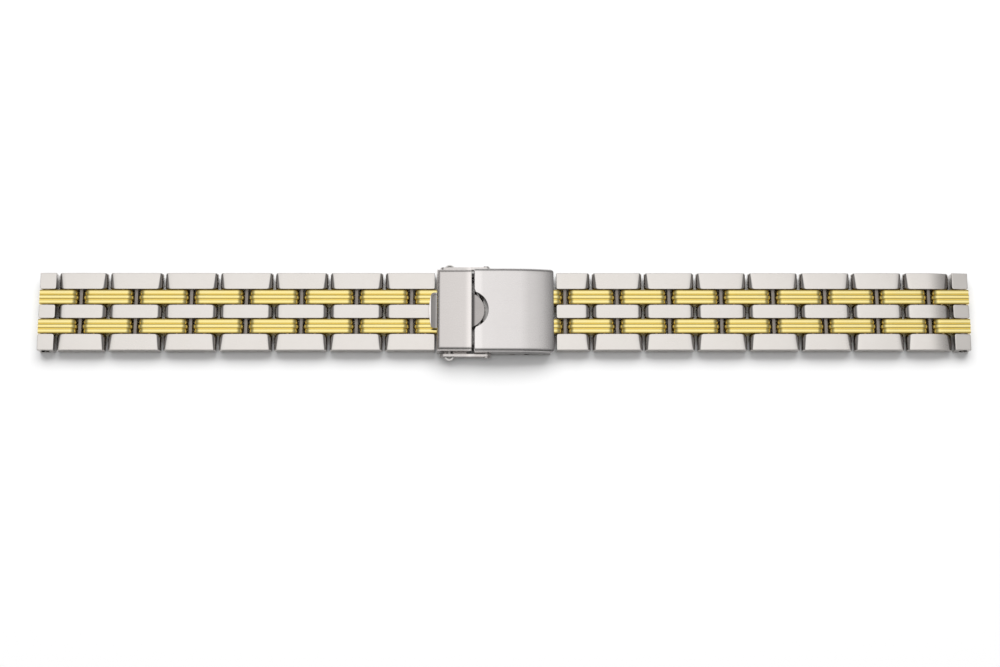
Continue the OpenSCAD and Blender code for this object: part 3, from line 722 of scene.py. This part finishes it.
claspSizes = {
    "coverLength": 13.9, "coverHalf": 7.55, "coverTop": 4.1,
    "drop": 1.12, "dropPower": 4.2,      # the cover bows down ever more towards its right end
    "seamRound": 0.22,                   # its edge at the seam is rolled over
    "seamOver": 0.26,                    # and stands this much further out
    "sheet": 0.5, "bend": 0.7, "rim": 0.3, "corner": 0.6, "edge": 0.07,
    "moonDepth": 2.28, "moonHalf": 3.17, "moonEdge": 0.1,
    "baseHalf": 6.8, "baseTop": 3.4, "baseSheet": 0.45, "baseRim": 0.4,
    "baseStart": -6.25, "baseEnd": -1.1, "cheekEnd": 3.2, "cheekWidth": 0.8,
    "tongueRound": 3.27, "tongueReach": 1.64,
    "springX": 11.57, "springZ": 1.1, "holeStep": 2.5, "holes": 3, "holeRadius": 0.425,
    "flipX": 1.9, "flipZ": 1.45, "flipRadius": 0.4,
    "hingeX": 0.6, "hingeZ": 2.0,
    "notch": 0.63,                       # radius of the catch bar's notch
    "cutReach": 9.0,                     # cutters run this far to both sides
}
bendMarks = range(10, 90, 10)            # degrees up a bend
wallMarks = [0.04, 0.3, 0.65, 1.0]       # share of a wall's height


def bentSheet(half, thick, rim, startAt, endAt, topAt, acrossMarks, alongSteps, roundAt):
    # rings run from the near rim up the wall, over the top and down to the far rim
    e, bend = claspSizes["edge"], claspSizes["bend"]
    wall = [("wall", 0.0, e), ("wall", 0.02, 0.3 * e)] + [("wall", w, 0.0) for w in wallMarks]
    wall += [("bend", a, 0.0) for a in bendMarks]
    stations = [(-1, *mark) for mark in wall]
    stations += [(0, "top", y, 0.0) for y in acrossMarks]
    stations += [(1, *mark) for mark in reversed(wall)]
    points, faces, count = [], [], 0
    for side, kind, at, inset in stations:
        turn = math.radians(at) if kind == "bend" else 0.0
        outerY = at if kind == "top" else side * (half - bend + bend * math.cos(turn))
        x0, x1 = startAt(outerY) + inset, endAt(outerY) - inset
        low, high, r = inset, thick - inset, max(e - inset, 0.001)
        under = max(r, roundAt(outerY) - inset)           # the outer edge at the left end
        a, b = x0 + under, x1 - r
        ring = [(a + (b - a) * k / alongSteps, low) for k in range(alongSteps + 1)]
        ring += arc(b, low + r, r, -90, 0, 4)[1:] + arc(b, high - r, r, 0, 90, 4)
        ring += [(b + (x0 + r - b) * k / alongSteps, high) for k in range(1, alongSteps + 1)]
        ring += arc(x0 + r, high - r, r, 90, 180, 4)[1:] + arc(a, low + under, under, 180, 270, 6)[:-1]
        count = len(ring)
        for x, deep in ring:
            if kind == "wall":
                points.append((x, side * (half - deep), rim + (topAt(x, bend) - rim) * at))
            elif kind == "bend":
                z = topAt(x, bend - (bend - deep) * math.sin(turn))
                points.append((x, side * (half - bend + (bend - deep) * math.cos(turn)), z))
            else:
                points.append((x, at, topAt(x, deep)))
    ringFaces(faces, len(stations), count)
    for start in (0, (len(stations) - 1) * count):
        faces.append([start + i for i in range(count)])
    return points, faces


def marksAcross(flat, arcHalf, arcRound, plain=7, fine=26):
    # y marks over the flat top: even ones outside, close ones along the arc
    reach = math.asin(arcHalf / arcRound)
    inside = [arcRound * math.sin(-reach + 2 * reach * k / fine) for k in range(fine + 1)]
    outside = [arcHalf + (flat - arcHalf) * k / plain for k in range(1, plain + 1)]
    return [-y for y in reversed(outside)] + inside + outside


def carve(mesh, cutters):
    # the mesh with each cutter shell taken away
    body = bpy.data.objects.new("Carved", mesh)
    bpy.context.scene.collection.objects.link(body)
    tools = []
    for k, shell in enumerate(cutters):
        tool = bpy.data.objects.new(f"Cutter{k}", meshFrom(f"Cutter{k}", [shell]))
        bpy.context.scene.collection.objects.link(tool)
        cut = body.modifiers.new(f"Cut{k}", "BOOLEAN")
        cut.operation, cut.solver, cut.object = "DIFFERENCE", "EXACT", tool
        tools.append(tool)
    bpy.context.view_layer.update()
    carved = bpy.data.meshes.new_from_object(body.evaluated_get(bpy.context.evaluated_depsgraph_get()))
    for thing in [body] + tools:
        bpy.data.objects.remove(thing)
    return carved


def crossRod(x, z, r):
    return rod(x, z, r, -claspSizes["cutReach"], claspSizes["cutReach"])


def coverTopAt(x, deep):
    c = claspSizes
    return c["coverTop"] - deep - c["drop"] * (max(0.0, x) / c["coverLength"]) ** c["dropPower"]


def makeCover():
    c = claspSizes
    half, corner = c["coverHalf"], c["corner"]
    moonRound = (c["moonHalf"] ** 2 + c["moonDepth"] ** 2) / (2 * c["moonDepth"])
    middle = c["moonDepth"] - moonRound

    def startAt(y):
        recess = middle + math.sqrt(moonRound ** 2 - y * y) if abs(y) <= c["moonHalf"] else -c["seamOver"]
        return max(-c["seamOver"], recess)

    def endAt(y):
        return c["coverLength"] - sunk(corner, half - abs(y))

    def roundAt(y):
        return c["seamRound"] if abs(y) > c["moonHalf"] else c["moonEdge"]

    marks = marksAcross(half - c["bend"], c["moonHalf"], moonRound)
    shell = bentSheet(half, c["sheet"], c["rim"], startAt, endAt, coverTopAt, marks, 40, roundAt)
    cutters = [crossRod(c["springX"] - k * c["holeStep"], c["springZ"], c["holeRadius"]) for k in range(c["holes"])]
    cutters.append(crossRod(c["flipX"], c["flipZ"], c["flipRadius"]))
    mesh = carve(meshFrom("CoverSheet", [shell]), cutters)
    sharpen(mesh, bench["sheetAngle"])
    return piece("Cover", mesh, coverSteel, "cover", "clasp_steel", "clasp_cover")


def makeLockBase():
    c = claspSizes
    half, tongue = c["baseHalf"], c["tongueRound"]
    flat, cheek = half - c["bend"], half - c["cheekWidth"]
    middle = c["tongueReach"] - tongue
    mouth = math.sqrt(tongue ** 2 - (c["baseEnd"] - middle) ** 2)
    jump = 0.001                         # the cheeks step out within this

    def endAt(y):
        if abs(y) > cheek:
            return c["cheekEnd"]
        return middle + math.sqrt(tongue ** 2 - y * y) if abs(y) < mouth else c["baseEnd"]

    marks = [-flat, -cheek - jump] + marksAcross(cheek, mouth, tongue) + [cheek + jump, flat]
    shell = bentSheet(
        half, c["baseSheet"], c["baseRim"], lambda y: c["baseStart"], endAt,
        lambda x, deep: c["baseTop"] - deep, marks, 12, lambda y: c["edge"],
    )
    x0, x1, reach = chain["catchX"] - c["notch"], chain["catchX"] + c["notch"], c["cutReach"]
    slot = [(x0, -1), (x1, -1), (x1, axisZ), (x0, axisZ)]
    cutters = [
        crossRod(chain["catchX"], axisZ, c["notch"]),
        stackSolid([(-reach, slot), (reach, slot)]),
        crossRod(c["hingeX"], c["hingeZ"], c["flipRadius"]),
        crossRod(c["flipX"], c["flipZ"], c["flipRadius"]),
    ]
    mesh = carve(meshFrom("LockBaseSheet", [shell]), cutters)
    sharpen(mesh, bench["sheetAngle"])
    return piece("LockBase", mesh, shadedBaseSteel, "cover", "clasp_steel", "lock_base")


claspGoldSizes = {
    "inside": 0.4,           # the ribbed bars start this far inside the cover
    "footEnd": 0.32,         # the flat foot below them ends this far before the web
    "footHigh": 0.5,
    "slopeHigh": 0.9,        # where the foot meets the arm to the spring bar
    "armLap": 0.1,
    "springBore": 0.6,
}


def makeClaspGold():
    # the two bars fixed in the first right link, each with an arm to the spring bar inside the cover
    s, width = claspGoldSizes, bench["goldWidth"]
    springX, springZ = claspSizes["springX"], claspSizes["springZ"]
    step = claspSizes["coverLength"] - s["inside"]
    footX, armX = chain["firstRight"] - s["footEnd"], step + s["armLap"]
    outline = arc(springX, springZ, springZ, 90, 270, 16)
    outline += [(footX, 0.0), (footX, s["footHigh"]), (armX, s["slopeHigh"]), (armX, 2 * springZ)]
    bars = goldRows(step, chain["firstRight"] - goldHalfGap, [], False, True)
    for y in (bench["goldStart"], -bench["goldStart"] - width):
        shell = stackSolid([(y, outline), (y + width, outline)], [(springX, springZ, s["springBore"])])
        bars.append((shell, [0.0] * len(shell[0])))
    return goldPiece("claspGold", bars, "right_link_1", "clasp_gold")


makeCover()
makeLockBase()
makeClaspGold()
print("clasp sheets made")


# CAD solids keep their shape and get their own finish.

solidFinishes = [
    ([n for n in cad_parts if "_pins_" in n], pinSteel),
    (["flip_hinge_pins", "fold_hinge_pin", "cover_hinge_pin", "spring_bar", "catch_bar"], pinSteel),
    (["inner_blade", "outer_blade"], shadedBladeSteel),
    (["clasp_cover"], coverSteel),
    (["lock_base"], shadedBaseSteel),
    (["flip_lock"], lockSteel),
    ([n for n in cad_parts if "gold" in n], goldPlate),
    ([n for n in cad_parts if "link" in n or n.endswith("_end_blocks")], linkSteel),
]
softEdges = {"flip_lock": 0.06, "catch_bar": 0.05, "inner_blade": 0.05, "outer_blade": 0.05}      # widths in mm

for names, finish in solidFinishes:
    for n in names:
        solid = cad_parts[n]
        if not solid.material_slots:
            solid.data.materials.append(finish)
        for place in solid.material_slots:
            place.link = "OBJECT"
            place.material = finish
for n, width in softEdges.items():
    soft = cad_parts[n].modifiers.new("SoftEdges", "BEVEL")
    soft.width, soft.segments = width / 1000, 3
    soft.limit_method, soft.angle_limit = "ANGLE", math.radians(bench["sheetAngle"])
    soft.harden_normals = True
print("kept solids finished")


# Table, light and camera.

studio = {
    "tableTone": (0.93, 0.93, 0.93),
    "tableSize": 3.0,
    "overhead": 1.08,
    "skyMiddle": (-0.05, 0.2, 1),        # where the bright part of the sky is
    "sky": [(0.0, 0.19), (0.34, 0.21), (0.64, 0.29), (0.80, 0.45), (0.90, 0.80), (0.95, 1.0)],
    "keyPower": 15.4,
    "keyWidth": 1.5,
    "keyHeight": 0.72,
    "keyDistance": 1.2,
    "keyElevation": 49,                  # it stands behind the bracelet
}

table = bpy.data.meshes.new("TableTop")
size = studio["tableSize"]
table.from_pydata([(-size, -size, 0), (size, -size, 0), (size, size, 0), (-size, size, 0)], [], [[0, 1, 2, 3]])
tableTop = bpy.data.objects.new("TableTop", table)
bpy.context.scene.collection.objects.link(tableTop)
tableTop.location.z = cadBox[0].z - 0.00001
tablePaint, nodes, links, shader = nodeGraph("TablePaint")
shader.inputs["Base Color"].default_value = (*studio["tableTone"], 1)
shader.inputs["Roughness"].default_value = 0.9
shader.inputs["Specular IOR Level"].default_value = 0.1
table.materials.append(tablePaint)

world = bpy.data.worlds.new("Studio")
bpy.context.scene.world = world
world.use_nodes = True
nodes, links = world.node_tree.nodes, world.node_tree.links
where = nodes.new("ShaderNodeTexCoord")
height = nodes.new("ShaderNodeVectorMath")
height.operation = "DOT_PRODUCT"
height.inputs[1].default_value = Vector(studio["skyMiddle"]).normalized()
links.new(where.outputs["Generated"], height.inputs[0])
links.new(ramp(nodes, links, height.outputs["Value"], studio["sky"]), nodes["Background"].inputs["Color"])
nodes["Background"].inputs["Strength"].default_value = studio["overhead"]

key = bpy.data.lights.new("KeySoftbox", "AREA")
key.shape = "RECTANGLE"
key.size, key.size_y = studio["keyWidth"], studio["keyHeight"]
key.energy = studio["keyPower"]
keyLamp = bpy.data.objects.new("KeySoftbox", key)
keyLamp.visible_glossy = False           # polished steel mirrors the sky alone
bpy.context.scene.collection.objects.link(keyLamp)
lift = math.radians(studio["keyElevation"])
away = Vector((0, math.cos(lift), math.sin(lift)))
keyLamp.location = away * studio["keyDistance"]
keyLamp.rotation_mode = "QUATERNION"
keyLamp.rotation_quaternion = away.to_track_quat("Z", "Y")

lens = {
    "mm": 61, "sensor": 36,
    "x": -3.84, "distance": 301.1, "elevation": 77.5,     # where it stands, in mm and degrees
    "yaw": 0.047, "extraPitch": 0.0129, "roll": 0.046,    # how it is turned, in radians
}
camera = bpy.data.cameras.new("Camera")
camera.lens, camera.sensor_width = lens["mm"], lens["sensor"]
camera.clip_start, camera.clip_end = 0.01, 10
eye = bpy.data.objects.new("Camera", camera)
bpy.context.scene.collection.objects.link(eye)
rise = math.radians(lens["elevation"])
back, above = lens["distance"] * math.cos(rise), lens["distance"] * math.sin(rise)
eye.location = (lens["x"] / 1000, -back / 1000, (above + bench["thick"]) / 1000)
pitch = rise + lens["extraPitch"]
ahead = Vector((math.sin(lens["yaw"]) * math.cos(pitch), math.cos(lens["yaw"]) * math.cos(pitch), -math.sin(pitch)))
across = ahead.cross(Vector((0, 0, 1))).normalized()
upward = across.cross(ahead)
right = across * math.cos(lens["roll"]) + upward * math.sin(lens["roll"])
top = upward * math.cos(lens["roll"]) - across * math.sin(lens["roll"])
eye.rotation_mode = "QUATERNION"
eye.rotation_quaternion = Matrix((right, top, -ahead)).transposed().to_quaternion()
bpy.context.scene.camera = eye
bpy.context.scene.view_settings.view_transform = "Standard"
print("table, light and camera set")
